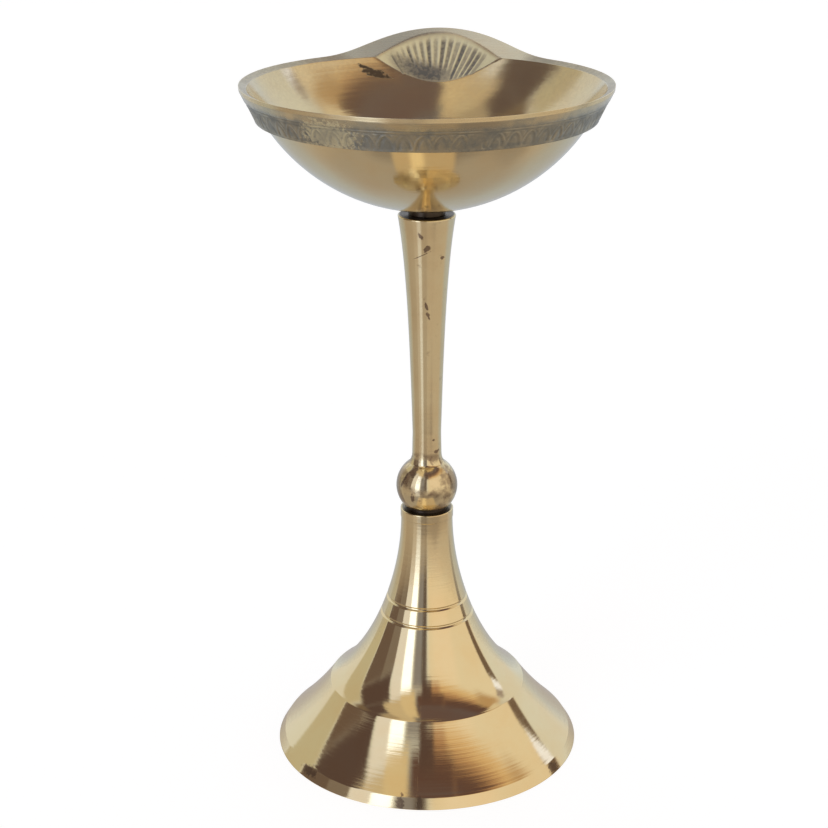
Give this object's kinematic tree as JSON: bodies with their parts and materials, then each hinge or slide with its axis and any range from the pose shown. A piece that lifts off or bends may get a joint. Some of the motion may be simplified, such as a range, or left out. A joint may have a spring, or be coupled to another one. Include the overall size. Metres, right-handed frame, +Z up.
{
  "type": "pedestal oil lamp",
  "caption": "Turned brass oil lamp: a shallow bowl with a wick lip and fanned channel, on a tapered stem with a ball knop and a hollow flared base.",
  "frame": {"origin": "on the table plane, under the middle of the lamp's outline; the turned axis stands 4.5 mm behind it, at y = -0.0045", "axes": "+Z up along the turned axis, +Y towards the wick lip, +X to the right when the lip points away from the viewer"},
  "size_m": [0.0766, 0.0856, 0.1539],
  "materials": {
    "polished_brass": "turned and polished, with fine lathe lines, light tarnish and dark patina in the ornament",
    "stud_brass": "dull screw brass",
    "plated_steel": "zinc plated, dulled"
  },
  "bodies": {
    "stand": {"base": "polished_brass", "base_stud": "stud_brass", "washer": "plated_steel", "nut": "plated_steel", "stem": "polished_brass"},
    "stud": {"bowl_stud": "stud_brass"},
    "bowl": {"bowl": "polished_brass"}
  },
  "joints": [
    {"name": "bowl_lift", "type": "slide", "parent": "stand", "child": "stud", "axis": [0, 0, 1], "range_m": [0, 0.008]},
    {"name": "bowl_turn", "type": "hinge", "parent": "stud", "child": "bowl", "pos_m": [0, -0.0045, 0.1239], "axis": [0, 0, 1], "range_deg": [0, 3600]}
  ],
  "couplings": [
    {"joint": "bowl_lift", "follows": "bowl_turn", "m_per_rad": 0.00012732}
  ]
}
